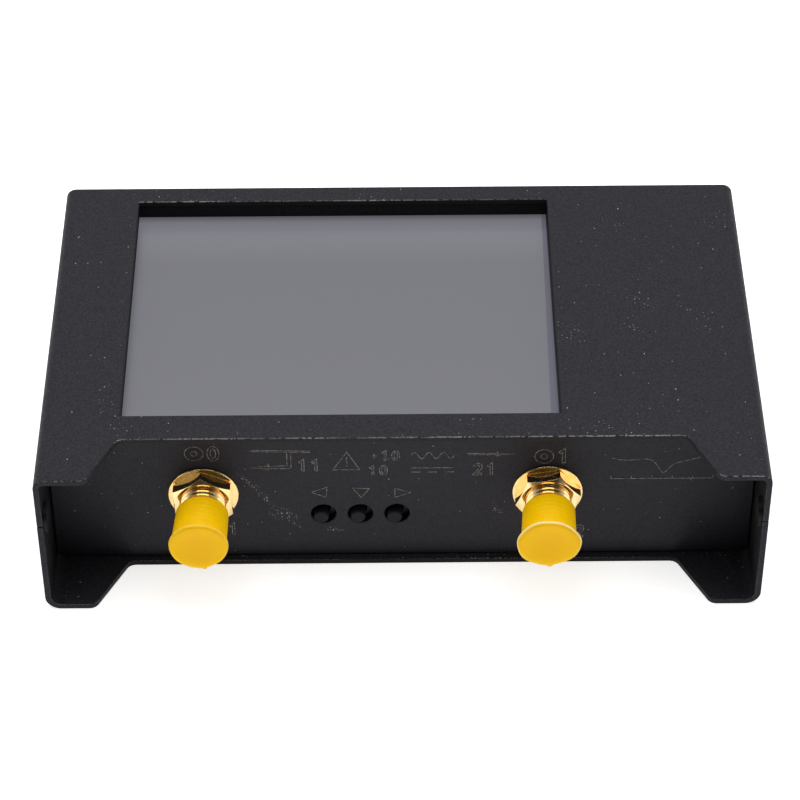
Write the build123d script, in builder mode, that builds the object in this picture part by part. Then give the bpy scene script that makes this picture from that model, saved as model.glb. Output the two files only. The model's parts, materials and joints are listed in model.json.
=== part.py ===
from build123d import *
import os

os.makedirs("parts", exist_ok=True)

# Handheld vector network analyzer: a two-piece folded sheet case with a framed
# display in its top, and a recessed front panel with two coaxial ports and three buttons.
# Millimetres. +X is to the right, +Y to the rear, +Z up. The origin is at the middle of
# the footprint, on the surface that the instrument stands on, with the dust caps fitted.

# ---------------------------------------------------------------- driving dimensions
case_width = 100.0
case_depth = 63.3
case_height = 24.7
sheet = 0.8                 # thickness of the folded steel
lid_bend = 1.6              # outside of the folds
floor_bend = 2.2
seam_height = 16.0          # where the two shells meet on the side walls
seam_gap = 0.25
deburr = 0.12               # broken edges of the cut sheet

tab_thickness = 0.6
side_tab = 7.0
side_tab_places = (28.0, 48.0)   # behind the case's front edge
lug_tab_length = 3.7
lug_tab_height = 4.2
lug_tab_corner = 1.6
lug_tab_inset = 0.25        # behind the case's front edge

cap_overhang = 1.3          # the fitted dust caps stand out in front of the case
front = -(case_depth - cap_overhang) / 2
rear = front + case_depth
inner_half = case_width / 2 - sheet
ceiling = case_height - sheet

# Notch in the front of both shells, half of its plan: outer corner, then inner corner.
top_notch = ((42.9, 0.0), (39.0, 8.17))
bottom_notch = ((43.1, 0.0), (38.75, 8.45))
notch_corner = 1.4

# Window in the top, and the display behind it
window_left = -38.9
window_length = 60.9
window_front = front + 13.0
window_width = 47.0
window_x = window_left + window_length / 2
window_y = window_front + window_width / 2
glass_depth = 3.0           # screen surface below the top of the case
touch_thickness = 1.2
adhesive_thickness = 0.2
lcd_thickness = 1.4
backlight_thickness = 1.8
display_length = 69.2
display_width = 48.8
active_length = 57.6
active_width = 43.2

# Front and rear panels
panel_thickness = 1.0
panel_corner = 1.0
panel_width = 98.1
panel_gap = 0.15            # panels clear the floor and the top by this
front_panel_face = front + 9.4
rear_panel_face = rear - 1.1

# Coaxial ports: 1/4-36 thread
port_places = {"left": -27.75, "right": 20.25}
port_z = 13.2
thread_diameter = 6.35
thread_pitch = 25.4 / 36
thread_depth = 0.43
port_nose = front - 0.4
nut_across_flats = 8.0
nut_thickness = 1.95
nut_turn = {"left": 3.0, "right": -20.0}
washer_diameter = 9.85
washer_thickness = 0.45
insulator_diameter = 4.1
contact_diameter = 1.27

# Dust caps
cap_length = 6.35
cap_body_diameter = 7.5
cap_flange_diameter = 8.2
cap_flange_thickness = 0.65
cap_bore = thread_diameter + 0.17
cap_ribs = 7

# Buttons
button_places = {"left": -11.05, "middle": -5.9, "right": -0.75}
button_hole_z = 8.95
button_hole = 3.5
plunger_diameter = 2.1
plunger_aside = -0.35       # the plungers sit a little left of and below their holes
plunger_below = -0.3
plunger_proud = 0.45
plunger_length = 3.5
plunger_stroke = 0.25

# Main board and the stack of fixings
board_top = port_z - 0.55
board_thickness = 1.6
board_bottom = board_top - board_thickness
board_width = 96.4
board_front = front_panel_face + panel_thickness + 1.8
board_rear = rear_panel_face - panel_thickness - 0.9
board_y = (board_front + board_rear) / 2
fixing_places = [(x, y) for x in (-45.6, 45.6) for y in (front + 14.6, front + 57.9)]
standoff_diameter = 4.4
spacer_diameter = 4.4
screw_shank = 2.4
screw_head = 4.6
screw_length = 16.0

# Rear connectors and battery
usb_x = -24.0
switch_x = 24.0
light_places = (-15.0, -11.0)
rear_screw_places = (-40.5, 40.5)
battery_size = (54.0, 34.0, 6.0)
battery_centre = (-3.0, front + 36.0)
battery_pad_thickness = 0.5
lead_diameter = 1.1

hung = (Align.CENTER, Align.CENTER, Align.MAX)
standing = (Align.CENTER, Align.CENTER, Align.MIN)


def across(y):
    """Plane across the instrument at depth y; an extrusion from it runs forwards."""
    return Plane.XZ.offset(-y)


def port_section(x):
    """Plane along a port's axis: its first direction is +Y and its second is +Z."""
    return Plane(origin=(x, 0, port_z), x_dir=(0, 1, 0), z_dir=(1, 0, 0))


def port_axis(x):
    return Axis((x, 0, port_z), (0, 1, 0))


def notch_outline(corners):
    """Closed outline of the trapezoid notch, mirrored about the middle of the case."""
    (outer_x, outer_y), (inner_x, inner_y) = corners
    return [
        (-outer_x, front + outer_y),
        (-inner_x, front + inner_y),
        (inner_x, front + inner_y),
        (outer_x, front + outer_y),
        (outer_x, front - 2),
        (-outer_x, front - 2),
    ]


# ---------------------------------------------------------------- case shells
# Top shell: the lid and its two side flanges, folded from one sheet.
flange_edge = seam_height + seam_gap / 2
with BuildPart() as top_shell:
    with BuildSketch(across(rear)):
        with Locations((0, case_height)):
            lid = Rectangle(case_width, case_height - flange_edge, align=(Align.CENTER, Align.MAX))
        fillet(lid.vertices().group_by(Axis.Y)[-1], lid_bend)
        with BuildSketch(across(rear), mode=Mode.SUBTRACT):
            with Locations((0, ceiling)):
                hollow = Rectangle(2 * inner_half, ceiling - flange_edge,
                                   align=(Align.CENTER, Align.MAX))
            fillet(hollow.vertices().group_by(Axis.Y)[-1], lid_bend - sheet)
    extrude(amount=case_depth)
    with BuildSketch(Plane.XY.offset(ceiling - 0.5)):
        with BuildLine():
            Polyline(*notch_outline(top_notch), close=True)
        make_face()
        with Locations((window_x, window_y)):
            Rectangle(window_length, window_width)
    extrude(amount=sheet + 1, mode=Mode.SUBTRACT)
    notch_corners = (
        top_shell.edges()
        .filter_by(Axis.Z)
        .filter_by_position(Axis.X, -case_width / 2 + 5, case_width / 2 - 5)
        .filter_by_position(Axis.Y, front - 0.1, front + 9)
    )
    fillet(notch_corners, notch_corner)
    lid_rim = top_shell.faces().sort_by(Axis.Z)[-1].edges().filter_by(
        lambda edge: abs(edge.center().X) < case_width / 2 - lid_bend - 0.01)
    chamfer(lid_rim, deburr)
top_shell.part.label = "top_shell"
export_step(top_shell.part, "parts/top_shell.step")

# Bottom shell: the floor and the lower side walls, with countersunk screw holes.
wall_edge = seam_height - seam_gap / 2
with BuildPart() as bottom_shell:
    with BuildSketch(across(rear)):
        tray = Rectangle(case_width, wall_edge, align=(Align.CENTER, Align.MIN))
        fillet(tray.vertices().group_by(Axis.Y)[0], floor_bend)
        with BuildSketch(across(rear), mode=Mode.SUBTRACT):
            with Locations((0, sheet)):
                hollow = Rectangle(2 * inner_half, wall_edge - sheet,
                                   align=(Align.CENTER, Align.MIN))
            fillet(hollow.vertices().group_by(Axis.Y)[0], floor_bend - sheet)
    extrude(amount=case_depth)
    with BuildSketch(Plane.XY.offset(-0.5)):
        with BuildLine():
            Polyline(*notch_outline(bottom_notch), close=True)
        make_face()
    extrude(amount=sheet + 1, mode=Mode.SUBTRACT)
    notch_corners = (
        bottom_shell.edges()
        .filter_by(Axis.Z)
        .filter_by_position(Axis.X, -case_width / 2 + 5, case_width / 2 - 5)
        .filter_by_position(Axis.Y, front - 0.1, front + 9)
    )
    fillet(notch_corners, notch_corner)
    with Locations(*[(x, y, 0) for x, y in fixing_places]):
        Cone(screw_head / 2 + 0.1, screw_head / 2 + 0.1 - sheet, sheet,
             align=standing, mode=Mode.SUBTRACT)
bottom_shell.part.label = "bottom_shell"
export_step(bottom_shell.part, "parts/bottom_shell.step")

# Locating tabs: spot-welded inside the lower walls, they reach up behind the lid's flanges.
# Each wall has two inside the case and a small round-cornered one in its front lug.
with BuildPart() as locating_tabs:
    for inner_face in (-inner_half, inner_half - tab_thickness):
        with Locations(*[(inner_face + tab_thickness / 2, front + y, 12.0) for y in side_tab_places]):
            Box(tab_thickness, side_tab, side_tab, align=standing)
    fillet(locating_tabs.edges().filter_by(Axis.X).group_by(Axis.Z)[-1], 2)
    for inner_face in (-inner_half, inner_half - tab_thickness):
        with BuildSketch(Plane.YZ.offset(inner_face)):
            with Locations((front + lug_tab_inset + lug_tab_length / 2, seam_height)):
                RectangleRounded(lug_tab_length, lug_tab_height, lug_tab_corner)
        extrude(amount=tab_thickness)
locating_tabs.part.label = "locating_tabs"
export_step(locating_tabs.part, "parts/locating_tabs.step")

# ---------------------------------------------------------------- front and rear panels
panel_height = ceiling - sheet - 2 * panel_gap
panel_z = (ceiling + sheet) / 2
with BuildPart() as front_panel:
    with BuildSketch(across(front_panel_face + panel_thickness)):
        with Locations((0, panel_z)):
            RectangleRounded(panel_width, panel_height, panel_corner)
        with Locations(*[(x, port_z) for x in port_places.values()]):
            Circle(thread_diameter / 2 + 0.12, mode=Mode.SUBTRACT)
        with Locations(*[(x, button_hole_z) for x in button_places.values()]):
            Circle(button_hole / 2, mode=Mode.SUBTRACT)
    extrude(amount=panel_thickness)
    chamfer(front_panel.faces().sort_by(Axis.Y)[0].edges(), deburr)
front_panel.part.label = "front_panel"
export_step(front_panel.part, "parts/front_panel.step")

usb_z = board_bottom - 1.63
power_z = board_bottom - 2.3
light_z = board_bottom - 1.45
rear_screw_z = board_bottom - 2.5
with BuildPart() as rear_panel:
    with BuildSketch(across(rear_panel_face)):
        with Locations((0, panel_z)):
            RectangleRounded(panel_width, panel_height, panel_corner)
        with Locations((usb_x, usb_z)):
            SlotOverall(9.5, 3.9, mode=Mode.SUBTRACT)
        with Locations((switch_x, power_z)):
            RectangleRounded(4.6, 2.2, 0.3, mode=Mode.SUBTRACT)
        with Locations(*[(x, light_z) for x in light_places]):
            Circle(1.0, mode=Mode.SUBTRACT)
        with Locations(*[(x, rear_screw_z) for x in rear_screw_places]):
            Circle(1.1, mode=Mode.SUBTRACT)
    extrude(amount=panel_thickness)
    with Locations(*[Location((x, rear_panel_face, rear_screw_z), (90, 0, 0))
                     for x in rear_screw_places]):
        Cone(2.0, 1.2, 0.8, align=standing, mode=Mode.SUBTRACT)
rear_panel.part.label = "rear_panel"
export_step(rear_panel.part, "parts/rear_panel.step")

# ---------------------------------------------------------------- display
# From the lid down: foam gasket, touch glass, adhesive, liquid-crystal glass, backlight.
glass_top = case_height - glass_depth
lcd_top = glass_top - touch_thickness - adhesive_thickness
backlight_top = lcd_top - lcd_thickness
backlight_bottom = backlight_top - backlight_thickness
with BuildPart() as display_gasket:
    with BuildSketch(Plane.XY.offset(glass_top)):
        with Locations((window_x, window_y)):
            Rectangle(window_length + 3.0, display_width)
            Rectangle(window_length + 0.2, window_width + 0.2, mode=Mode.SUBTRACT)
    extrude(amount=ceiling - glass_top)
display_gasket.part.label = "display_gasket"
export_step(display_gasket.part, "parts/display_gasket.step")

with BuildPart() as touch_panel:
    with BuildSketch(Plane.XY.offset(glass_top - touch_thickness)):
        with Locations((window_x, window_y)):
            RectangleRounded(display_length - 1.0, display_width, 0.6)
    extrude(amount=touch_thickness)
    chamfer(touch_panel.edges().group_by(Axis.Z)[-1], deburr)
touch_panel.part.label = "touch_panel"
export_step(touch_panel.part, "parts/touch_panel.step")

with BuildPart() as touch_adhesive:
    with BuildSketch(Plane.XY.offset(lcd_top)):
        with Locations((window_x, window_y)):
            Rectangle(display_length - 1.6, display_width - 0.6)
            Rectangle(active_length + 2.0, active_width + 2.0, mode=Mode.SUBTRACT)
    extrude(amount=adhesive_thickness)
touch_adhesive.part.label = "touch_adhesive"
export_step(touch_adhesive.part, "parts/touch_adhesive.step")

with BuildPart() as lcd_glass:
    with BuildSketch(Plane.XY.offset(backlight_top)):
        with Locations((window_x, window_y)):
            Rectangle(display_length - 0.8, display_width - 0.6)
    extrude(amount=lcd_thickness)
lcd_glass.part.label = "lcd_glass"
export_step(lcd_glass.part, "parts/lcd_glass.step")

# Backlight: a moulded frame with a recess that holds the light guide.
with BuildPart() as backlight_frame:
    with BuildSketch(Plane.XY.offset(backlight_bottom)):
        with Locations((window_x, window_y)):
            RectangleRounded(display_length, display_width, 0.5)
    extrude(amount=backlight_thickness)
    with BuildSketch(Plane.XY.offset(backlight_top)):
        with Locations((window_x, window_y)):
            Rectangle(display_length - 4, display_width - 3)
    extrude(amount=-0.9, mode=Mode.SUBTRACT)
backlight_frame.part.label = "backlight_frame"
export_step(backlight_frame.part, "parts/backlight_frame.step")

with BuildPart() as light_guide:
    with BuildSketch(Plane.XY.offset(backlight_top)):
        with Locations((window_x, window_y)):
            Rectangle(display_length - 4.3, display_width - 3.3)
    extrude(amount=-0.8)
light_guide.part.label = "light_guide"
export_step(light_guide.part, "parts/light_guide.step")

# Flat flex: out of the glass's right end, round in a U, and into a connector on the board.
flex_start = window_x + display_length / 2 - 0.4
flex_bend = flex_start + 6.9
flex_end = flex_start + 3.4
flex_low = board_top + 1.0
with BuildPart() as display_flex:
    with BuildSketch(across(window_y + 10)):
        with BuildLine():
            FilletPolyline(
                (flex_start, backlight_top + 0.25),
                (flex_bend, backlight_top + 0.25),
                (flex_bend, flex_low),
                (flex_end, flex_low),
                radius=2.3,
            )
        trace(line_width=0.2)
    extrude(amount=20)
display_flex.part.label = "display_flex"
export_step(display_flex.part, "parts/display_flex.step")

with BuildPart() as flex_connector:
    with Locations((flex_end - 1.8, window_y, board_top)):
        Box(4, 23, 2, align=standing)
    with Locations((flex_end, window_y, flex_low)):
        Box(1.4, 20.4, 0.5, mode=Mode.SUBTRACT)
flex_connector.part.label = "flex_connector"
export_step(flex_connector.part, "parts/flex_connector.step")

# ---------------------------------------------------------------- main board
with BuildPart() as main_board:
    with BuildSketch(Plane.XY.offset(board_bottom)):
        with Locations((0, board_y)):
            RectangleRounded(board_width, board_rear - board_front, 1.0)
        with Locations(*fixing_places):
            Circle(1.4, mode=Mode.SUBTRACT)
    extrude(amount=board_thickness)
main_board.part.label = "main_board"
export_step(main_board.part, "parts/main_board.step")

# Screening cans over the radio circuits: drawn tin boxes, open below.
can_height = 2.6
can_wall = 0.25
can_boxes = [(-30.0, 34.0, 15.0, 30.0), (-6.0, 34.0, 22.0, 30.0), (15.5, 34.0, 12.0, 30.0)]
with BuildPart() as screening_cans:
    for x, y, length, width in can_boxes:
        with BuildSketch(Plane.XY.offset(board_top)):
            with Locations((x, front + y)):
                RectangleRounded(length, width, 0.8)
        extrude(amount=can_height)
        with BuildSketch(Plane.XY.offset(board_top)):
            with Locations((x, front + y)):
                RectangleRounded(length - 2 * can_wall, width - 2 * can_wall, 0.5)
        extrude(amount=can_height - can_wall, mode=Mode.SUBTRACT)
screening_cans.part.label = "screening_cans"
export_step(screening_cans.part, "parts/screening_cans.step")

# Foam pads on the cans carry the display and press it up against its gasket.
with BuildPart() as display_pads:
    with Locations(*[(x, front + y, board_top + can_height)
                     for x in (-30.0, -6.0, 15.5) for y in (24.0, 44.0)]):
        Box(11, 7, backlight_bottom - board_top - can_height, align=standing)
display_pads.part.label = "display_pads"
export_step(display_pads.part, "parts/display_pads.step")

# Chips: processor, power and memory packages beside the cans, and two below the board.
top_chips = [(36.5, 19.0, 10.0, 10.0, 1.4), (39.0, 36.0, 5.0, 6.0, 1.5), (38.0, 46.5, 6.0, 6.0, 2.8)]
low_chips = [(-8.0, 14.6 + 43, 4.0, 5.0, 1.1), (34.0, 14.6 + 41, 5.0, 4.0, 1.1)]
with BuildPart() as board_chips:
    for x, y, length, width, height in top_chips:
        with Locations((x, front + y, board_top)):
            Box(length, width, height, align=standing)
    for x, y, length, width, height in low_chips:
        with Locations((x, front + y, board_bottom)):
            Box(length, width, height, align=hung)
board_chips.part.label = "board_chips"
export_step(board_chips.part, "parts/board_chips.step")

# ---------------------------------------------------------------- coaxial ports
def thread_profile():
    """Half section of the threaded barrel, from its nose to the panel, as (y, radius)."""
    crest = thread_diameter / 2
    root = crest - thread_depth
    points = [(port_nose, insulator_diameter / 2 + 0.02), (port_nose, root)]
    y = port_nose + 0.15
    while y + thread_pitch < front_panel_face + panel_thickness:
        points += [
            (y + 0.02 * thread_pitch, root),
            (y + 0.45 * thread_pitch, crest),
            (y + 0.57 * thread_pitch, crest),
        ]
        y += thread_pitch
    points.append((y, root))
    points.append((front_panel_face + panel_thickness, root))
    points.append((front_panel_face + panel_thickness, insulator_diameter / 2 + 0.02))
    return points


base_front = front_panel_face + panel_thickness
for side, x in port_places.items():
    # Body: threaded barrel, base block behind the panel, and four legs on the board.
    with BuildPart() as port_body:
        with BuildSketch(port_section(x)):
            with BuildLine():
                Polyline(*thread_profile(), close=True)
            make_face()
        revolve(axis=port_axis(x))
        with BuildSketch(across(board_front)):
            with Locations((x, port_z)):
                Rectangle(7.6, 6.6)
                Circle(insulator_diameter / 2 + 0.02, mode=Mode.SUBTRACT)
        extrude(amount=board_front - base_front)
        for leg_x in (-3.0, 3.0):
            with Locations((x + leg_x, board_front, board_top)):
                Box(1.1, 3.4, 1.0, align=(Align.CENTER, Align.MIN, Align.MIN))
            with Locations((x + leg_x, board_front, board_bottom)):
                Box(1.1, 3.4, 1.0, align=(Align.CENTER, Align.MIN, Align.MAX))
    port_body.part.label = f"{side}_port_body"
    export_step(port_body.part, f"parts/{side}_port_body.step")

    with BuildPart() as insulator:
        with BuildSketch(across(board_front)):
            with Locations((x, port_z)):
                Circle(insulator_diameter / 2)
                Circle(contact_diameter / 2 + 0.02, mode=Mode.SUBTRACT)
        extrude(amount=board_front - port_nose - 0.1)
    insulator.part.label = f"{side}_port_insulator"
    export_step(insulator.part, f"parts/{side}_port_insulator.step")

    # Centre contact: a socket in front, and a thinner pin that lies on the board.
    with BuildPart() as contact:
        with BuildSketch(across(board_front)):
            with Locations((x, port_z)):
                Circle(contact_diameter / 2)
        extrude(amount=board_front - port_nose - 0.15)
        with BuildSketch(across(port_nose + 2.6)):
            with Locations((x, port_z)):
                Circle(0.46)
        extrude(amount=3, mode=Mode.SUBTRACT)
        with BuildSketch(across(board_front + 2.6)):
            with Locations((x, port_z)):
                Circle(0.5)
        extrude(amount=2.6)
    contact.part.label = f"{side}_port_contact"
    export_step(contact.part, f"parts/{side}_port_contact.step")

    # Dust cap: a soft ribbed tube with a closed, flanged front, pushed over the thread.
    cap_front = front - cap_overhang
    tube_radius = cap_body_diameter / 2
    rib_pitch = (cap_length - cap_flange_thickness) / cap_ribs
    profile = [
        (cap_front, 0),
        (cap_front, cap_flange_diameter / 2 - 0.15),
        (cap_front + 0.15, cap_flange_diameter / 2),
        (cap_front + cap_flange_thickness, cap_flange_diameter / 2),
    ]
    for rib in range(cap_ribs):
        rib_start = cap_front + cap_flange_thickness + rib * rib_pitch
        profile += [
            (rib_start, tube_radius - 0.1),
            (rib_start + 0.35 * rib_pitch, tube_radius),
            (rib_start + 0.75 * rib_pitch, tube_radius),
        ]
    profile += [
        (cap_front + cap_length, tube_radius - 0.1),
        (cap_front + cap_length, cap_bore / 2),
        (port_nose - 0.2, cap_bore / 2),
        (port_nose - 0.2, 0),
    ]
    with BuildPart() as dust_cap:
        with BuildSketch(port_section(x)):
            with BuildLine():
                Polyline(*profile, close=True)
            make_face()
        revolve(axis=port_axis(x))
    dust_cap.part.label = f"{side}_dust_cap"
    export_step(dust_cap.part, f"parts/{side}_dust_cap.step")

# Washers and hexagon nuts clamp the front panel to the port bodies.
with BuildPart() as port_washers:
    with BuildSketch(across(front_panel_face)):
        with Locations(*[(x, port_z) for x in port_places.values()]):
            Circle(washer_diameter / 2)
            Circle(thread_diameter / 2 + 0.06, mode=Mode.SUBTRACT)
    extrude(amount=washer_thickness)
    chamfer(port_washers.edges().group_by(Axis.Y)[0].filter_by(
        lambda edge: edge.radius > 4), 0.08)
port_washers.part.label = "port_washers"
export_step(port_washers.part, "parts/port_washers.step")

nut_rear = front_panel_face - washer_thickness
nut_front = nut_rear - nut_thickness
nut_corner = nut_across_flats / 2 / 0.866
with BuildPart() as port_nuts:
    for side, x in port_places.items():
        with BuildSketch(across(nut_rear)):
            with Locations((x, port_z)):
                RegularPolygon(nut_across_flats / 2, 6, major_radius=False,
                               rotation=30 + nut_turn[side])
        extrude(amount=nut_thickness)
    # Turned chamfers round both faces of each nut, and the threaded bore.
    with BuildPart(mode=Mode.INTERSECT):
        for x in port_places.values():
            with BuildSketch(port_section(x)):
                with BuildLine():
                    Polyline(
                        (nut_front, thread_diameter / 2 + 0.03),
                        (nut_front, nut_across_flats / 2 - 0.1),
                        (nut_front + 0.42, nut_corner + 0.05),
                        (nut_rear - 0.25, nut_corner + 0.05),
                        (nut_rear, nut_across_flats / 2 + 0.1),
                        (nut_rear, thread_diameter / 2 + 0.03),
                        close=True,
                    )
                make_face()
            revolve(axis=port_axis(x))
port_nuts.part.label = "port_nuts"
export_step(port_nuts.part, "parts/port_nuts.step")

# ---------------------------------------------------------------- buttons
switch_front = front_panel_face + panel_thickness + 0.5
for name, x in button_places.items():
    plunger_x = x + plunger_aside
    plunger_z = button_hole_z + plunger_below
    with BuildPart() as switch_body:
        with Locations((plunger_x, switch_front, board_bottom)):
            Box(4.5, 3.5, 4.6, align=(Align.CENTER, Align.MIN, Align.MAX))
        fillet(switch_body.edges().filter_by(Axis.Y), 0.4)
        with BuildSketch(across(switch_front + 2.4)):
            with Locations((plunger_x, plunger_z)):
                Circle(plunger_diameter / 2 + 0.25)
        extrude(amount=3, mode=Mode.SUBTRACT)
    switch_body.part.label = f"{name}_switch_body"
    export_step(switch_body.part, f"parts/{name}_switch_body.step")

    with BuildPart() as plunger:
        with BuildSketch(across(front_panel_face - plunger_proud + plunger_length)):
            with Locations((plunger_x, plunger_z)):
                Circle(plunger_diameter / 2)
        extrude(amount=plunger_length)
        fillet(plunger.edges().group_by(Axis.Y)[0], 0.2)
    plunger.part.label = f"{name}_button_plunger"
    export_step(plunger.part, f"parts/{name}_button_plunger.step")

# ---------------------------------------------------------------- rear connectors
# Power switch: its knob stands in the body's slot at the left end of its travel.
knob_travel = 2.0
knob_width = 1.6
with BuildPart() as power_switch_body:
    with Locations((switch_x, board_rear + 0.3, board_bottom)):
        Box(8.6, 4.2, 4.6, align=(Align.CENTER, Align.MAX, Align.MAX))
    with Locations((switch_x, board_rear + 0.3, power_z)):
        Box(knob_travel + knob_width + 0.5, 3.3, 2.0,
            align=(Align.CENTER, Align.MAX, Align.CENTER), mode=Mode.SUBTRACT)
power_switch_body.part.label = "power_switch_body"
export_step(power_switch_body.part, "parts/power_switch_body.step")

with BuildPart() as power_switch_knob:
    with Locations((switch_x - knob_travel / 2, rear - 0.1, power_z)):
        Box(knob_width, 5.3, 1.5, align=(Align.CENTER, Align.MAX, Align.CENTER))
    fillet(power_switch_knob.edges().group_by(Axis.Y)[-1], 0.25)
power_switch_knob.part.label = "power_switch_knob"
export_step(power_switch_knob.part, "parts/power_switch_knob.step")

usb_depth = 7.4
with BuildPart() as usb_socket_shell:
    with BuildSketch(across(rear_panel_face)):
        with Locations((usb_x, usb_z)):
            SlotOverall(8.94, 3.26)
    extrude(amount=usb_depth)
    with BuildSketch(across(rear_panel_face)):
        with Locations((usb_x, usb_z)):
            SlotOverall(8.34, 2.66)
    extrude(amount=usb_depth - 0.4, mode=Mode.SUBTRACT)
usb_socket_shell.part.label = "usb_socket_shell"
export_step(usb_socket_shell.part, "parts/usb_socket_shell.step")

with BuildPart() as usb_socket_tongue:
    with BuildSketch(across(rear_panel_face - 0.8)):
        with Locations((usb_x, usb_z)):
            RectangleRounded(6.7, 0.7, 0.2)
    extrude(amount=usb_depth - 1.2)
usb_socket_tongue.part.label = "usb_socket_tongue"
export_step(usb_socket_tongue.part, "parts/usb_socket_tongue.step")

with BuildPart() as indicator_leds:
    with Locations(*[(x, rear_panel_face - 4.9, board_bottom) for x in light_places]):
        Box(2.0, 1.4, 2.3, align=hung)
indicator_leds.part.label = "indicator_leds"
export_step(indicator_leds.part, "parts/indicator_leds.step")

with BuildPart() as light_pipes:
    with BuildSketch(across(rear_panel_face + 0.15)):
        with Locations(*[(x, light_z) for x in light_places]):
            Circle(0.9)
    extrude(amount=4.2)
    fillet(light_pipes.edges().group_by(Axis.Y)[-1], 0.2)
light_pipes.part.label = "light_pipes"
export_step(light_pipes.part, "parts/light_pipes.step")

# ---------------------------------------------------------------- battery
battery_x, battery_y = battery_centre
battery_length, battery_width, battery_height = battery_size
with BuildPart() as battery_pad:
    with Locations((battery_x, battery_y, sheet)):
        Box(battery_length - 6, battery_width - 6, battery_pad_thickness, align=standing)
battery_pad.part.label = "battery_pad"
export_step(battery_pad.part, "parts/battery_pad.step")

battery_bottom = sheet + battery_pad_thickness
with BuildPart() as battery_pack:
    with Locations((battery_x, battery_y, battery_bottom)):
        Box(battery_length, battery_width, battery_height, align=standing)
    fillet(battery_pack.edges().filter_by(Axis.Y), 1.6)
battery_pack.part.label = "battery_pack"
export_step(battery_pack.part, "parts/battery_pack.step")

# Battery socket under the board, the plug in it, and two leads from the pack.
lead_start = battery_x + battery_length / 2
socket_mouth = lead_start + 13
socket_z = board_bottom - 2.25
with BuildPart() as battery_socket:
    with Locations((socket_mouth, battery_y, board_bottom)):
        Box(6.5, 8.0, 4.5, align=(Align.MIN, Align.CENTER, Align.MAX))
    with Locations((socket_mouth, battery_y, socket_z)):
        Box(5.5, 6.2, 3.0, align=(Align.MIN, Align.CENTER, Align.CENTER), mode=Mode.SUBTRACT)
battery_socket.part.label = "battery_socket"
export_step(battery_socket.part, "parts/battery_socket.step")

plug_face = socket_mouth - 2.5
with BuildPart() as battery_plug:
    with Locations((plug_face, battery_y, socket_z)):
        Box(7.6, 5.8, 2.6, align=(Align.MIN, Align.CENTER, Align.CENTER))
battery_plug.part.label = "battery_plug"
export_step(battery_plug.part, "parts/battery_plug.step")

lead_low = battery_bottom + battery_height / 2
for colour, aside in (("red", 1.1), ("black", -1.1)):
    with BuildPart() as lead:
        with BuildLine(Plane.XZ.offset(-(battery_y + aside))) as lead_path:
            FilletPolyline(
                (lead_start, lead_low),
                (lead_start + 4, lead_low),
                (plug_face - 3, socket_z),
                (plug_face, socket_z),
                radius=3.3,
            )
        with BuildSketch(Plane.YZ.offset(lead_start)):
            with Locations((battery_y + aside, lead_low)):
                Circle(lead_diameter / 2)
        sweep(path=lead_path.wire())
    lead.part.label = f"battery_lead_{colour}"
    export_step(lead.part, f"parts/battery_lead_{colour}.step")

# ---------------------------------------------------------------- fixings
# Blind standoffs are welded under the lid, so that no screw shows on top.
with BuildPart() as lid_standoffs:
    with Locations(*[(x, y, board_top) for x, y in fixing_places]):
        Cylinder(standoff_diameter / 2, ceiling - board_top, align=standing)
        Cylinder(screw_shank / 2 + 0.05, 6.0, align=standing, mode=Mode.SUBTRACT)
lid_standoffs.part.label = "lid_standoffs"
export_step(lid_standoffs.part, "parts/lid_standoffs.step")

with BuildPart() as board_spacers:
    with Locations(*[(x, y, sheet) for x, y in fixing_places]):
        Cylinder(spacer_diameter / 2, board_bottom - sheet, align=standing)
        Cylinder(1.4, board_bottom - sheet, align=standing, mode=Mode.SUBTRACT)
        Cone(1.7, 1.4, 0.3, align=standing, mode=Mode.SUBTRACT)
board_spacers.part.label = "board_spacers"
export_step(board_spacers.part, "parts/board_spacers.step")

# Case screws: countersunk heads flush in the floor, each with a cross recess.
head_height = (screw_head - screw_shank) / 2
with BuildPart() as case_screws:
    with Locations(*[(x, y, 0.05) for x, y in fixing_places]):
        Cone(screw_head / 2, screw_shank / 2, head_height, align=standing)
        Cylinder(screw_shank / 2, screw_length, align=standing)
        Box(2.4, 0.5, 0.7, align=standing, mode=Mode.SUBTRACT)
        Box(0.5, 2.4, 0.7, align=standing, mode=Mode.SUBTRACT)
case_screws.part.label = "case_screws"
export_step(case_screws.part, "parts/case_screws.step")

# Rear panel: two small countersunk screws into brass blocks under the board.
rear_inner = rear_panel_face - panel_thickness
with BuildPart() as rear_panel_blocks:
    with Locations(*[(x, rear_inner, board_bottom) for x in rear_screw_places]):
        Box(5, 5, 5, align=(Align.CENTER, Align.MAX, Align.MAX))
    with BuildSketch(across(rear_inner)):
        with Locations(*[(x, rear_screw_z) for x in rear_screw_places]):
            Circle(1.0)
    extrude(amount=4.4, mode=Mode.SUBTRACT)
rear_panel_blocks.part.label = "rear_panel_blocks"
export_step(rear_panel_blocks.part, "parts/rear_panel_blocks.step")

with BuildPart() as rear_panel_screws:
    for x in rear_screw_places:
        with Locations(Location((x, rear_panel_face - 0.05, rear_screw_z), (90, 0, 0))):
            Cone(1.85, 0.95, 0.9, align=standing)
            Cylinder(0.95, 5.0, align=standing)
            Box(2.0, 0.4, 0.6, align=standing, mode=Mode.SUBTRACT)
            Box(0.4, 2.0, 0.6, align=standing, mode=Mode.SUBTRACT)
rear_panel_screws.part.label = "rear_panel_screws"
export_step(rear_panel_screws.part, "parts/rear_panel_screws.step")
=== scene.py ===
import json
import math
import bmesh
import bpy
from mathutils import Euler, Matrix, Vector


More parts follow.
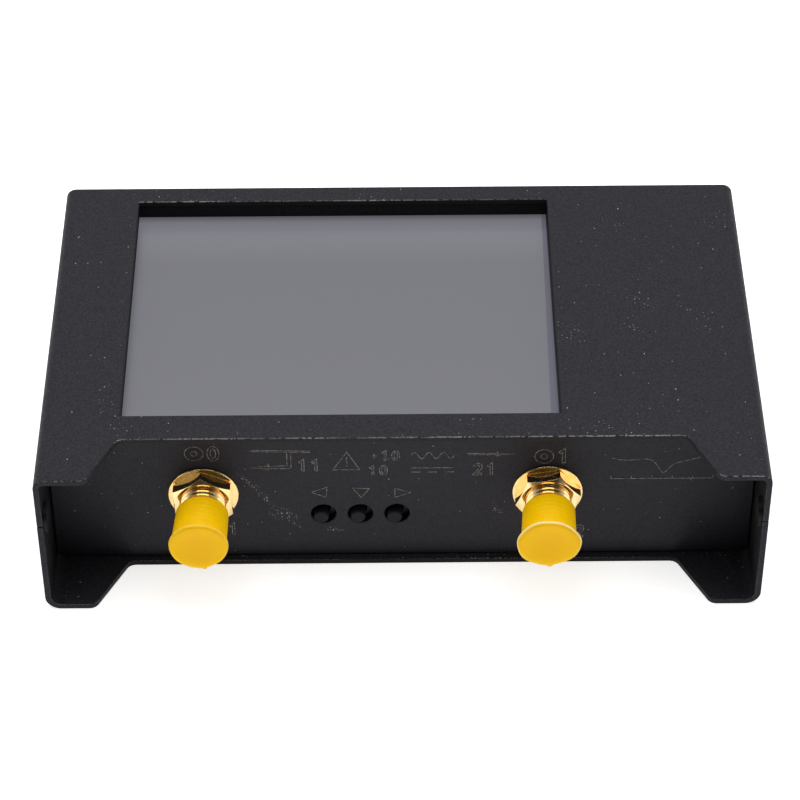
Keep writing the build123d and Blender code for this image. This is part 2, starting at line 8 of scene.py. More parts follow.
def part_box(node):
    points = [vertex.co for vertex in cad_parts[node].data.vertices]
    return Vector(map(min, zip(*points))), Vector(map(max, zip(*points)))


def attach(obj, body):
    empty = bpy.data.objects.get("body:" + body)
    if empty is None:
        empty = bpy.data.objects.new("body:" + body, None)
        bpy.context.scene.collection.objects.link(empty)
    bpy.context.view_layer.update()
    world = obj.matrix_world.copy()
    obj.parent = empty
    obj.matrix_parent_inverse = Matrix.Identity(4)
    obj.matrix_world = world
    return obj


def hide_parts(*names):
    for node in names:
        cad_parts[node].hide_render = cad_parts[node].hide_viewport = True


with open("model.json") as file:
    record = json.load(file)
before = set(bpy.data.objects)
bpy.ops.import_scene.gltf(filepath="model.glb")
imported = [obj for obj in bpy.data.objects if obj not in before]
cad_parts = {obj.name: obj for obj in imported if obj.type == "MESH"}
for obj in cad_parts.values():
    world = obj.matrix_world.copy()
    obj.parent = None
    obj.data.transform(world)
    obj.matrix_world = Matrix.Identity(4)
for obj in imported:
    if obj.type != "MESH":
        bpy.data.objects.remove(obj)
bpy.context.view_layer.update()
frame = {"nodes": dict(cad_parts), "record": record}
print("frame loaded:", len(frame["nodes"]), "nodes")

mm = 0.001
scene = bpy.context.scene
nodeObjects = frame["nodes"]


# Small helpers for node trees.
def joinMath(tree, operation, *values):
    # One math node: each value is a socket to link or a plain number.
    node = tree.nodes.new("ShaderNodeMath")
    node.operation = operation
    for index, value in enumerate(values):
        if isinstance(value, (int, float)):
            node.inputs[index].default_value = value
        else:
            tree.links.new(value, node.inputs[index])
    return node.outputs[0]


def spread(tree, value, low, high, outLow=0.0, outHigh=1.0):
    # Maps low..high to outLow..outHigh, clamped.
    node = tree.nodes.new("ShaderNodeMapRange")
    tree.links.new(value, node.inputs["Value"])
    node.inputs["From Min"].default_value = low
    node.inputs["From Max"].default_value = high
    node.inputs["To Min"].default_value = outLow
    node.inputs["To Max"].default_value = outHigh
    return node.outputs["Result"]


def startMaterial(name):
    material = bpy.data.materials.new(name)
    material.use_nodes = True
    tree = material.node_tree
    return material, tree, tree.nodes["Principled BSDF"]


def splitVector(tree, vector):
    node = tree.nodes.new("ShaderNodeSeparateXYZ")
    tree.links.new(vector, node.inputs[0])
    return node.outputs


def objectPlace(tree):
    return tree.nodes.new("ShaderNodeTexCoord").outputs["Object"]


def surfaceNormal(tree, kind="Normal"):
    return tree.nodes.new("ShaderNodeNewGeometry").outputs[kind]


def matchVectors(tree, first, second):
    # The dot product of a socket with another socket or with a plain vector.
    node = tree.nodes.new("ShaderNodeVectorMath")
    node.operation = "DOT_PRODUCT"
    tree.links.new(first, node.inputs[0])
    if isinstance(second, tuple):
        node.inputs[1].default_value = second
    else:
        tree.links.new(second, node.inputs[1])
    return node.outputs["Value"]


# Camera: a long lens above and in front of the case, with no shift and no depth of field.
cameraSet = {
    "place": (-1.471, -322.967, 305.891),  # mm
    "pitchDown": 42.42,
    "yaw": 0.2275,
    "roll": -0.282,
    "lens": 135.42,
    "sensor": 36.0,
}


def addCamera():
    data = bpy.data.cameras.new("camera")
    data.lens = cameraSet["lens"]
    data.sensor_width = cameraSet["sensor"]
    data.clip_start = 0.01
    data.clip_end = 10.0
    camera = bpy.data.objects.new("camera", data)
    turn = Euler((math.radians(90 - cameraSet["pitchDown"]), 0, math.radians(-cameraSet["yaw"])))
    twist = Matrix.Rotation(math.radians(cameraSet["roll"]), 4, "Z")
    spot = Matrix.Translation(Vector(cameraSet["place"]) * mm)
    camera.matrix_world = spot @ turn.to_matrix().to_4x4() @ twist
    scene.collection.objects.link(camera)
    scene.camera = camera


# Studio: a white surround that is dark high up in front, and one broad light overhead.
studioSet = {
    "surround": 0.75,
    "darkSide": 0.05,
    "darkTowards": (0.0, -0.74, 0.67),
    "darkReach": (0.50, 0.80),   # cosines where the dark side begins and is full
    "topSize": 0.9,
    "topPower": 5.0,
    "topPlace": (0.0, 0.16, 0.78),
    "floorSize": 6.0,
    "floorColour": (0.93, 0.93, 0.93, 1),
    "floorRoughness": 0.9,
    "floorGloss": 0.1,
    "floorGlow": 0.5,
    "floorSeen": 0.16,           # glow that only the camera sees, so that shadows stay faint
    "floorDrop": 0.02,           # mm below the feet, so that no faces coincide
}


def addLight(name, place, size, power):
    data = bpy.data.lights.new(name, "AREA")
    data.shape = "SQUARE"
    data.size = size
    data.energy = power
    lamp = bpy.data.objects.new(name, data)
    lamp.location = place
    lamp.rotation_euler = (-Vector(place)).to_track_quat("-Z", "Y").to_euler()
    scene.collection.objects.link(lamp)


def addRoom():
    # The camera sees plain white behind the floor, and the object sees a dimmer room.
    world = bpy.data.worlds.new("surround")
    world.use_nodes = True
    tree = world.node_tree
    background = tree.nodes["Background"]
    background.inputs["Color"].default_value = (1, 1, 1, 1)
    where = tree.nodes.new("ShaderNodeTexCoord").outputs["Generated"]
    towards = matchVectors(tree, where, studioSet["darkTowards"])
    low, high = studioSet["darkReach"]
    room = spread(tree, towards, low, high, studioSet["surround"], studioSet["darkSide"])
    seen = tree.nodes.new("ShaderNodeLightPath").outputs["Is Camera Ray"]
    tree.links.new(joinMath(tree, "MAXIMUM", room, seen), background.inputs["Strength"])
    scene.world = world
    scene.view_settings.view_transform = "Standard"


def floorPaper():
    material, tree, shader = startMaterial("studioFloor")
    shader.inputs["Base Color"].default_value = studioSet["floorColour"]
    shader.inputs["Roughness"].default_value = studioSet["floorRoughness"]
    shader.inputs["Specular IOR Level"].default_value = studioSet["floorGloss"]
    shader.inputs["Emission Color"].default_value = (1, 1, 1, 1)
    seen = tree.nodes.new("ShaderNodeLightPath").outputs["Is Camera Ray"]
    extra = joinMath(tree, "MULTIPLY", seen, studioSet["floorSeen"])
    glow = joinMath(tree, "ADD", extra, studioSet["floorGlow"])
    tree.links.new(glow, shader.inputs["Emission Strength"])
    # From below the floor is clear, so that the underside can be seen.
    clear = tree.nodes.new("ShaderNodeBsdfTransparent")
    pick = tree.nodes.new("ShaderNodeMixShader")
    tree.links.new(surfaceNormal(tree, "Backfacing"), pick.inputs["Fac"])
    tree.links.new(shader.outputs["BSDF"], pick.inputs[1])
    tree.links.new(clear.outputs["BSDF"], pick.inputs[2])
    tree.links.new(pick.outputs["Shader"], tree.nodes["Material Output"].inputs["Surface"])
    return material


def addFloor():
    half = studioSet["floorSize"] / 2
    low = -studioSet["floorDrop"] * mm
    mesh = bpy.data.meshes.new("floor")
    corners = [(-half, -half, low), (half, -half, low), (half, half, low), (-half, half, low)]
    mesh.from_pydata(corners, [], [(0, 1, 2, 3)])
    mesh.materials.append(floorPaper())
    floor = bpy.data.objects.new("floor", mesh)
    scene.collection.objects.link(floor)


addCamera()
addRoom()
addLight("topLight", studioSet["topPlace"], studioSet["topSize"], studioSet["topPower"])
addFloor()
print("camera and studio ready")


# Node groups that several materials share. Each is built once.
def newGroup(name, inputs, outputs):
    group = bpy.data.node_groups.new(name, "ShaderNodeTree")
    for label, kind, value in inputs:
        socket = group.interface.new_socket(label, in_out="INPUT", socket_type=kind)
        socket.default_value = value
    for label, kind in outputs:
        group.interface.new_socket(label, in_out="OUTPUT", socket_type=kind)
    start = group.nodes.new("NodeGroupInput")
    end = group.nodes.new("NodeGroupOutput")
    return group, start, end


grainShape = {
    "fineShare": 0.88,
    "slowShare": 0.12,
    "slowScale": 0.22,   # of the fine noise's scale
    "fineDetail": 2.0,
    "slowDetail": 1.0,
    "toneSwing": 3.0,
}


def buildGrain():
    # Fine sprayed grain: a fine noise on a slow one. Tone is for colour, Height for bump.
    group, start, end = newGroup(
        "fineGrain",
        [("Size", "NodeSocketFloat", 0.3), ("Contrast", "NodeSocketFloat", 1.0)],
        [("Tone", "NodeSocketFloat"), ("Height", "NodeSocketFloat")],
    )
    where = objectPlace(group)
    frequency = joinMath(group, "DIVIDE", 1000.0, start.outputs["Size"])
    fine = group.nodes.new("ShaderNodeTexNoise")
    fine.inputs["Detail"].default_value = grainShape["fineDetail"]
    group.links.new(where, fine.inputs["Vector"])
    group.links.new(frequency, fine.inputs["Scale"])
    slow = group.nodes.new("ShaderNodeTexNoise")
    slow.inputs["Detail"].default_value = grainShape["slowDetail"]
    group.links.new(where, slow.inputs["Vector"])
    slower = joinMath(group, "MULTIPLY", frequency, grainShape["slowScale"])
    group.links.new(slower, slow.inputs["Scale"])
    both = joinMath(group, "ADD", joinMath(group, "MULTIPLY", fine.outputs["Fac"], grainShape["fineShare"]),
                    joinMath(group, "MULTIPLY", slow.outputs["Fac"], grainShape["slowShare"]))
    swing = joinMath(group, "MULTIPLY", joinMath(group, "SUBTRACT", both, 0.5), start.outputs["Contrast"])
    tone = joinMath(group, "ADD", joinMath(group, "MULTIPLY", swing, grainShape["toneSwing"]), 0.5)
    group.links.new(tone, end.inputs["Tone"])
    group.links.new(both, end.inputs["Height"])
    return group


edgeShape = {
    "samples": 6,
    "bend": (0.07, 0.22),        # how far the rounded normal leaves the true one
    "dashScale": 2700.0,
    "dashDetail": 3.0,
    "dashRamp": 0.10,
    "driftScale": 110.0,         # slow change along an edge
    "drift": (0.38, 0.60),
    "driftLeast": 0.3,
    "awayWear": 0.12,            # wear and painted glint on edges that face away from the user
    "chamferWear": 0.7,
}


def buildEdgeWear():
    # Rubbed edges, partly a painted highlight: where a rounded normal leaves the true one, broken into short
    # dashes, and strongest on the upper edges and chamfers that face the user.
    group, start, end = newGroup(
        "edgeWear",
        [("Radius", "NodeSocketFloat", 0.2), ("Breaks", "NodeSocketFloat", 0.4)],
        [("Mask", "NodeSocketFloat"), ("Normal", "NodeSocketVector")],
    )
    bevel = group.nodes.new("ShaderNodeBevel")
    bevel.samples = edgeShape["samples"]
    group.links.new(joinMath(group, "MULTIPLY", start.outputs["Radius"], mm), bevel.inputs["Radius"])
    true = surfaceNormal(group, "True Normal")
    bend = joinMath(group, "SUBTRACT", 1.0, matchVectors(group, bevel.outputs["Normal"], true))
    edge = spread(group, bend, *edgeShape["bend"])
    where = objectPlace(group)
    noise = group.nodes.new("ShaderNodeTexNoise")
    noise.inputs["Scale"].default_value = edgeShape["dashScale"]
    noise.inputs["Detail"].default_value = edgeShape["dashDetail"]
    group.links.new(where, noise.inputs["Vector"])
    broken = joinMath(group, "SUBTRACT", noise.outputs["Fac"], start.outputs["Breaks"])
    dashes = spread(group, broken, 0.0, edgeShape["dashRamp"])
    slow = group.nodes.new("ShaderNodeTexNoise")
    slow.inputs["Scale"].default_value = edgeShape["driftScale"]
    group.links.new(where, slow.inputs["Vector"])
    drift = spread(group, slow.outputs["Fac"], *edgeShape["drift"], edgeShape["driftLeast"], 1.0)
    dashes = joinMath(group, "MULTIPLY", dashes, drift)
    tilt = splitVector(group, bevel.outputs["Normal"])
    # Wear and painted glint both keep to edges that face forward and up.
    forward = spread(group, tilt["Y"], 0.1, -0.35, edgeShape["awayWear"], 1.0)
    upper = spread(group, tilt["Z"], -0.3, -0.1)
    rubbed = joinMath(group, "MULTIPLY", joinMath(group, "MULTIPLY", edge, forward), upper)
    flat = splitVector(group, true)
    sloped = joinMath(group, "COMPARE", flat["Z"], 0.7, 0.15)
    chamfered = joinMath(group, "MULTIPLY", sloped, joinMath(group, "LESS_THAN", flat["Y"], -0.4))
    chamfered = joinMath(group, "MULTIPLY", chamfered, edgeShape["chamferWear"])
    rubbed = joinMath(group, "MAXIMUM", rubbed, chamfered)
    group.links.new(joinMath(group, "MULTIPLY", rubbed, dashes), end.inputs["Mask"])
    group.links.new(bevel.outputs["Normal"], end.inputs["Normal"])
    return group


dustShape = {
    "size": (0.4, 1.2),          # of the fleck's given size
    "brightness": (0.25, 1.0),
}


def buildDust():
    # Sparse pale flecks on a plane: a few cells of a flat cell pattern hold one small speck each.
    group, start, end = newGroup(
        "dustFlecks",
        [("Where", "NodeSocketVector", (0, 0, 0)), ("Cell", "NodeSocketFloat", 2.0),
         ("Fleck", "NodeSocketFloat", 0.08), ("Share", "NodeSocketFloat", 0.1)],
        [("Mask", "NodeSocketFloat")],
    )
    cells = group.nodes.new("ShaderNodeTexVoronoi")
    cells.voronoi_dimensions = "2D"
    group.links.new(start.outputs["Where"], cells.inputs["Vector"])
    group.links.new(joinMath(group, "DIVIDE", 1000.0, start.outputs["Cell"]), cells.inputs["Scale"])
    reach = joinMath(group, "DIVIDE", start.outputs["Fleck"], start.outputs["Cell"])
    colour = group.nodes.new("ShaderNodeSeparateColor")
    group.links.new(cells.outputs["Color"], colour.inputs["Color"])
    grown = spread(group, colour.outputs["Green"], 0, 1, *dustShape["size"])
    size = joinMath(group, "MULTIPLY", reach, grown)
    inside = joinMath(group, "LESS_THAN", cells.outputs["Distance"], size)
    chosen = joinMath(group, "LESS_THAN", colour.outputs["Red"], start.outputs["Share"])
    bright = spread(group, colour.outputs["Blue"], 0, 1, *dustShape["brightness"])
    speck = joinMath(group, "MULTIPLY", inside, chosen)
    group.links.new(joinMath(group, "MULTIPLY", speck, bright), end.inputs["Mask"])
    return group


def buildPatch():
    # A soft oval patch in a plane across the case, turned about the depth axis; 1 at its middle.
    group, start, end = newGroup(
        "ovalPatch",
        [("Centre", "NodeSocketVector", (0, 0, 0)), ("Turn", "NodeSocketFloat", 0.0),
         ("Length", "NodeSocketFloat", 5.0), ("Width", "NodeSocketFloat", 1.0)],
        [("Mask", "NodeSocketFloat")],
    )
    shift = group.nodes.new("ShaderNodeVectorMath")
    shift.operation = "SUBTRACT"
    group.links.new(objectPlace(group), shift.inputs[0])
    group.links.new(start.outputs["Centre"], shift.inputs[1])
    turn = group.nodes.new("ShaderNodeVectorRotate")
    turn.rotation_type = "Y_AXIS"
    group.links.new(shift.outputs[0], turn.inputs["Vector"])
    group.links.new(start.outputs["Turn"], turn.inputs["Angle"])
    parts = splitVector(group, turn.outputs[0])
    along = joinMath(group, "MULTIPLY", parts["X"], 1000.0)
    along = joinMath(group, "DIVIDE", along, start.outputs["Length"])
    aside = joinMath(group, "MULTIPLY", parts["Z"], 1000.0)
    aside = joinMath(group, "DIVIDE", aside, start.outputs["Width"])
    reach = joinMath(group, "SQRT", joinMath(group, "ADD", joinMath(group, "MULTIPLY", along, along),
                                             joinMath(group, "MULTIPLY", aside, aside)))
    group.links.new(spread(group, reach, 0.2, 1.0, 1.0, 0.0), end.inputs["Mask"])
    return group


grainGroup = buildGrain()
wearGroup = buildEdgeWear()
dustGroup = buildDust()
patchGroup = buildPatch()
print("shader groups ready")


# Helpers for materials.
def useGroup(tree, group, **values):
    node = tree.nodes.new("ShaderNodeGroup")
    node.node_tree = group
    for label, value in values.items():
        node.inputs[label].default_value = value
    return node


def blendColour(tree, mask, base, over):
    # base where the mask is 0 and over where it is 1; each is a colour or a socket.
    node = tree.nodes.new("ShaderNodeMix")
    node.data_type = "RGBA"
    tree.links.new(mask, node.inputs["Factor"])
    for socket, value in ((node.inputs["A"], base), (node.inputs["B"], over)):
        if isinstance(value, tuple):
            socket.default_value = value
        else:
            tree.links.new(value, socket)
    return node.outputs["Result"]


def setRoughness(tree, shader, tone, atDark, atLight):
    tree.links.new(spread(tree, tone, 0, 1, atDark, atLight), shader.inputs["Roughness"])


def addBump(tree, shader, height, depth, normal=None):
    bump = tree.nodes.new("ShaderNodeBump")
    bump.inputs["Strength"].default_value = 1.0
    bump.inputs["Distance"].default_value = depth * mm
    tree.links.new(height, bump.inputs["Height"])
    if normal is not None:
        tree.links.new(normal, bump.inputs["Normal"])
    tree.links.new(bump.outputs["Normal"], shader.inputs["Normal"])


powderSet = {
    "dark": (0.0157, 0.0148, 0.0190, 1),
    "light": (0.0287, 0.0270, 0.0348, 1),
    "hidden": (0.0185, 0.0176, 0.0200, 1),   # painted shade on inner walls
    "deep": (0.0060, 0.0058, 0.0064, 1),     # painted shade, darker still next to the front panel
    "deepReach": 6.0,
    "cut": (0.0200, 0.0195, 0.0210, 1),      # painted tone for the shaded cut edges of the top
    # pale rubbed edges, partly a painted highlight
    "wear": (0.38, 0.37, 0.38, 1),
    "dust": (0.62, 0.62, 0.64, 1),
    "roughness": 0.55,
    "roughSwing": 0.08,
    "gloss": 0.12,
    "grain": {"Size": 0.32, "Contrast": 1.0},
    "grainDepth": 0.018,
    "edge": {"Radius": 0.15, "Breaks": 0.43},
    "loneDust": {"Cell": 1.9, "Fleck": 0.07, "Share": 0.14},
    "crowdDust": {"Cell": 0.6, "Fleck": 0.06, "Share": 0.35},
    "crowdDrift": {"Size": 9.0, "Contrast": 1.6},
    "crowdReach": (0.95, 1.1),
    "innerMargin": 0.6,                      # mm in from the sides
    "lugMargin": 1.0,                        # mm behind the lugs' front edge
    "cutBand": 0.85,                         # mm below the top
}


def powderGloss(tree, shader, tone):
    middle, swing = powderSet["roughness"], powderSet["roughSwing"]
    setRoughness(tree, shader, tone, middle + swing, middle - swing)
    shader.inputs["Specular IOR Level"].default_value = powderSet["gloss"]


def powderCoat():
    material, tree, shader = startMaterial("powderCoat")
    grain = useGroup(tree, grainGroup, **powderSet["grain"])
    wear = useGroup(tree, wearGroup, **powderSet["edge"])
    # Dust lies on level faces only, some of it in loose clusters.
    where = objectPlace(tree)
    lone = useGroup(tree, dustGroup, **powderSet["loneDust"])
    crowd = useGroup(tree, dustGroup, **powderSet["crowdDust"])
    for flecks in (lone, crowd):
        tree.links.new(where, flecks.inputs["Where"])
    drift = useGroup(tree, grainGroup, **powderSet["crowdDrift"])
    crowded = joinMath(tree, "MULTIPLY", crowd.outputs["Mask"],
                       spread(tree, drift.outputs["Tone"], *powderSet["crowdReach"]))
    facing = splitVector(tree, surfaceNormal(tree))
    level = joinMath(tree, "GREATER_THAN", facing["Z"], 0.9)
    dust = joinMath(tree, "MULTIPLY", joinMath(tree, "MAXIMUM", lone.outputs["Mask"], crowded), level)
    coat = blendColour(tree, grain.outputs["Tone"], powderSet["dark"], powderSet["light"])
    # Painted shade on inner walls, which stand within the sheet's outside and behind the lugs' front edge.
    spot = splitVector(tree, where)
    lowest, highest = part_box("bottom_shell")
    inside = highest[0] - powderSet["innerMargin"] * mm
    within = joinMath(tree, "LESS_THAN", joinMath(tree, "ABSOLUTE", spot["X"]), inside)
    behind = joinMath(tree, "GREATER_THAN", spot["Y"], lowest[1] + powderSet["lugMargin"] * mm)
    upright = joinMath(tree, "LESS_THAN", joinMath(tree, "ABSOLUTE", facing["Z"]), 0.5)
    hidden = joinMath(tree, "MULTIPLY", joinMath(tree, "MULTIPLY", within, behind), upright)
    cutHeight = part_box("top_shell")[1][2] - powderSet["cutBand"] * mm
    high = joinMath(tree, "GREATER_THAN", spot["Z"], cutHeight)
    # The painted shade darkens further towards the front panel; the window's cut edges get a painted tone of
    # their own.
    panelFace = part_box("front_panel")[0][1]
    deep = spread(tree, spot["Y"], panelFace - powderSet["deepReach"] * mm, panelFace)
    inner = blendColour(tree, deep, powderSet["hidden"], powderSet["deep"])
    coat = blendColour(tree, hidden, coat, inner)
    coat = blendColour(tree, joinMath(tree, "MULTIPLY", hidden, high), coat, powderSet["cut"])
    # Rubbed edges, partly a painted highlight.
    coat = blendColour(tree, wear.outputs["Mask"], coat, powderSet["wear"])
    coat = blendColour(tree, dust, coat, powderSet["dust"])
    tree.links.new(coat, shader.inputs["Base Color"])
    powderGloss(tree, shader, grain.outputs["Tone"])
    addBump(tree, shader, grain.outputs["Height"], powderSet["grainDepth"], wear.outputs["Normal"])
    return material


panelSet = {
    "dark": (0.0130, 0.0124, 0.0170, 1),
    "light": (0.0237, 0.0225, 0.0308, 1),
    "wall": (0.0050, 0.0048, 0.0056, 1),   # painted shade inside the holes
    # pale rubbed edges, partly a painted highlight
    "wear": (0.08, 0.08, 0.08, 1),
    "dust": (0.50, 0.49, 0.47, 1),
    "scuff": (0.06, 0.058, 0.058, 1),
    "roughness": 0.46,
    "roughSwing": 0.06,
    "gloss": 0.15,
    "grain": {"Size": 0.22, "Contrast": 1.3},
    "grainDepth": 0.006,
    "edge": {"Radius": 0.15, "Breaks": 0.5},
    "closeDust": {"Cell": 0.34, "Fleck": 0.085, "Share": 0.5},
    "farDust": {"Cell": 2.0, "Fleck": 0.07, "Share": 0.16},
    "scuffShare": 0.12,
    "cornerReach": 10.0,                   # mm inwards from the ends, over which the painted shade fades out
    "footReach": 3.0,                      # mm up from the foot, over which the painted shade fades out
    "cornerTone": 0.60,
    "patches": [
        # centre x and z, turn, length, width, in mm and degrees
        (-16.6, 8.9, -20.0, 2.6, 1.5),
        (-19.6, 12.9, -56.0, 3.6, 0.7),
        (-21.8, 15.6, -50.0, 2.0, 0.5),
        (-14.9, 6.9, -48.0, 2.6, 0.5),
        (-9.6, 5.9, -15.0, 1.8, 0.6),
        (13.3, 9.4, -60.0, 1.8, 0.7),
    ],
}


def panelBlack():
    material, tree, shader = startMaterial("panelBlack")
    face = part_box("front_panel")[0]
    grain = useGroup(tree, grainGroup, **panelSet["grain"])
    wear = useGroup(tree, wearGroup, **panelSet["edge"])
    coat = blendColour(tree, grain.outputs["Tone"], panelSet["dark"], panelSet["light"])
    spot = splitVector(tree, objectPlace(tree))
    upright = tree.nodes.new("ShaderNodeCombineXYZ")
    tree.links.new(spot["X"], upright.inputs["X"])
    tree.links.new(spot["Z"], upright.inputs["Y"])
    close = useGroup(tree, dustGroup, **panelSet["closeDust"])
    far = useGroup(tree, dustGroup, **panelSet["farDust"])
    for field in (close, far):
        tree.links.new(upright.outputs[0], field.inputs["Where"])
    flecks = far.outputs["Mask"]
    # Painted shade: darker towards the ends and the foot of the panel, next to the side walls and the floor
    # of the case.
    tone = panelSet["cornerTone"]
    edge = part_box("front_panel")[1][0]
    sideways = joinMath(tree, "ABSOLUTE", spot["X"])
    ends = spread(tree, sideways, edge, edge - panelSet["cornerReach"] * mm, tone, 1.0)
    foot = spread(tree, spot["Z"], face[2], face[2] + panelSet["footReach"] * mm, tone, 1.0)
    full = joinMath(tree, "MINIMUM", ends, foot)
    coat = blendColour(tree, full, (0.0, 0.0, 0.0, 1), coat)
    # Painted shade on faces that turn away from the front, inside the holes among them.
    facing = splitVector(tree, surfaceNormal(tree, "True Normal"))
    inHole = joinMath(tree, "LESS_THAN", joinMath(tree, "ABSOLUTE", facing["Y"]), 0.5)
    coat = blendColour(tree, inHole, coat, panelSet["wall"])
    # The rear panel shares this paint, but not the front's scuffs.
    front = joinMath(tree, "LESS_THAN", spot["Y"], 0.0)
    for x, z, turn, length, width in panelSet["patches"]:
        patch = useGroup(tree, patchGroup, Centre=(x * mm, face[1], z * mm), Turn=math.radians(turn),
                         Length=length, Width=width)
        here = joinMath(tree, "MULTIPLY", patch.outputs["Mask"], front)
        coat = blendColour(tree, joinMath(tree, "MULTIPLY", here, panelSet["scuffShare"]), coat,
                           panelSet["scuff"])
        local = joinMath(tree, "MULTIPLY", here, close.outputs["Mask"])
        flecks = joinMath(tree, "MAXIMUM", flecks, local)
    coat = blendColour(tree, flecks, coat, panelSet["dust"])
    coat = blendColour(tree, wear.outputs["Mask"], coat, panelSet["wear"])
    tree.links.new(coat, shader.inputs["Base Color"])
    middle, swing = panelSet["roughness"], panelSet["roughSwing"]
    setRoughness(tree, shader, grain.outputs["Tone"], middle + swing, middle - swing)
    shader.inputs["Specular IOR Level"].default_value = panelSet["gloss"]
    addBump(tree, shader, grain.outputs["Height"], panelSet["grainDepth"], wear.outputs["Normal"])
    return material


goldSet = {
    "bright": (1.0, 0.78, 0.42, 1),
    "deep": (0.96, 0.66, 0.28, 1),
    "roughness": (0.04, 0.14),
    "grain": {"Size": 0.9, "Contrast": 1.0},
    "grainDepth": 0.0012,
    "edge": {"Radius": 0.08, "Breaks": 0.3},
}


def goldPlate():
    material, tree, shader = startMaterial("goldPlate")
    grain = useGroup(tree, grainGroup, **goldSet["grain"])
    wear = useGroup(tree, wearGroup, **goldSet["edge"])
    tree.links.new(blendColour(tree, grain.outputs["Tone"], goldSet["deep"], goldSet["bright"]),
                   shader.inputs["Base Color"])
    shader.inputs["Metallic"].default_value = 1.0
    setRoughness(tree, shader, grain.outputs["Tone"], *goldSet["roughness"])
    addBump(tree, shader, grain.outputs["Height"], goldSet["grainDepth"], wear.outputs["Normal"])
    return material


screenSet = {
    "grey": (0.0525, 0.0525, 0.0610, 1),
    # painted reflection of the window's wall, a bluish strip at the right
    "strip": (0.0195, 0.0195, 0.0370, 1),
    "stripShare": 0.5,
    "line": (0.005, 0.005, 0.006, 1),
    # painted highlight along the front edge
    "rim": (0.10, 0.10, 0.11, 1),
    # painted light that lifts the rear of the film
    "rear": (0.068, 0.068, 0.079, 1),
    "rearReach": 11.0,                   # mm, over which the painted light at the rear fades in
    "shade": (0.040, 0.040, 0.046, 1),   # close under the gasket's rear rail
    "shadeReach": 1.3,
    "stripWidth": 1.25,
    "stripTaper": 0.011,
    "lineWidth": 0.10,
    "rimWidth": 0.12,
    "softEdge": 0.04,                    # mm either way, on every line
    "rails": (1.5, 0.9),                 # mm, the gasket's side and end rails
    "haze": {"Size": 14.0, "Contrast": 0.5},
    "hazeTone": 0.95,
    "roughness": (0.22, 0.28),
    # painted light: the film's glow evens out its shading
    "glow": 2.0,
}


def windowBox():
    # The gasket's inside follows the window: its box less its rails.
    low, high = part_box("display_gasket")
    railX, railY = (rail * mm for rail in screenSet["rails"])
    return (low[0] + railX, low[1] + railY), (high[0] - railX, high[1] - railY)


def screenGlass():
    # A blank picture that glows, the glow painted light that evens out the film's shading: a painted
    # highlight along a thin front rim, a painted reflection of the window's wall as a strip at the right, and
    # a black line at the right.
    material, tree, shader = startMaterial("screenGlass")
    low, high = windowBox()
    spot = splitVector(tree, objectPlace(tree))
    haze = useGroup(tree, grainGroup, **screenSet["haze"])
    dimmer = tuple(screenSet["hazeTone"] * part for part in screenSet["grey"][:3]) + (1,)
    film = blendColour(tree, haze.outputs["Tone"], screenSet["grey"], dimmer)
    # Painted light: the film is lifted towards the rear.
    rear = high[1] - screenSet["rearReach"] * mm
    film = blendColour(tree, spread(tree, spot["Y"], rear, high[1]), film, screenSet["rear"])
    shade = high[1] - screenSet["shadeReach"] * mm
    film = blendColour(tree, spread(tree, spot["Y"], shade, high[1]), film, screenSet["shade"])
    soft = screenSet["softEdge"] * mm
    strip = high[0] - screenSet["stripWidth"] * mm
    line = high[0] - screenSet["lineWidth"] * mm
    front = low[1] + screenSet["rimWidth"] * mm
    # The painted reflection of the window's wall narrows towards the rear.
    depth = joinMath(tree, "SUBTRACT", spot["Y"], low[1])
    across = joinMath(tree, "SUBTRACT", spot["X"], joinMath(tree, "MULTIPLY", depth, screenSet["stripTaper"]))
    onStrip = spread(tree, across, strip - soft, strip + soft, 0, screenSet["stripShare"])
    film = blendColour(tree, onStrip, film, screenSet["strip"])
    # Painted highlight along the thin front rim.
    onRim = spread(tree, spot["Y"], front - soft, front + soft, 1, 0)
    film = blendColour(tree, onRim, film, screenSet["rim"])
    onLine = spread(tree, spot["X"], line - soft, line + soft)
    film = blendColour(tree, onLine, film, screenSet["line"])
    tree.links.new(film, shader.inputs["Base Color"])
    # Painted light: the film glows in its own colour, which evens out its shading.
    tree.links.new(film, shader.inputs["Emission Color"])
    shader.inputs["Emission Strength"].default_value = screenSet["glow"]
    setRoughness(tree, shader, haze.outputs["Tone"], *screenSet["roughness"])
    return material


plainSet = {
    "edge": {"Radius": 0.1, "Breaks": 0.5},
    "roughSwing": 0.05,
    "metalDepth": 0.003,
    "softGloss": 0.15,
}


def plainPlastic(name, dark, light, roughness, size=0.5, depth=0.004):
    # Moulded plastic, foam or board with a faint grain and two close tones.
    material, tree, shader = startMaterial(name)
    grain = useGroup(tree, grainGroup, Size=size, Contrast=1.0)
    wear = useGroup(tree, wearGroup, **plainSet["edge"])
    swing = plainSet["roughSwing"]
    tree.links.new(blendColour(tree, grain.outputs["Tone"], dark, light), shader.inputs["Base Color"])
    setRoughness(tree, shader, grain.outputs["Tone"], roughness + swing, roughness - swing)
    addBump(tree, shader, grain.outputs["Height"], depth, wear.outputs["Normal"])
    return material


def plainMetal(name, dark, light, roughness, size=0.4):
    material = plainPlastic(name, dark, light, roughness, size, plainSet["metalDepth"])
    material.node_tree.nodes["Principled BSDF"].inputs["Metallic"].default_value = 1.0
    return material


capSet = {
    "yellow": (0.84, 0.49, 0.001, 1),
    # orange for the mottle, and for the painted shade at the middle of the end
    "orange": (0.82, 0.42, 0.001, 1),
    # painted highlight on the rounded rim
    "pale": (0.86, 0.74, 0.40, 1),
    "orangeShare": 0.35,
    "grain": {"Size": 1.4, "Contrast": 0.8},
    "grainDepth": 0.02,
    "roughness": 0.36,
    "roughSwing": 0.05,
    "gloss": 0.12,
    "inner": 0.18,        # painted glow standing in for light passed on inside the plastic
    "glow": 0.25,
    "glowColour": (1.0, 0.6, 0.1),
    "glowReach": 0.0012,
}


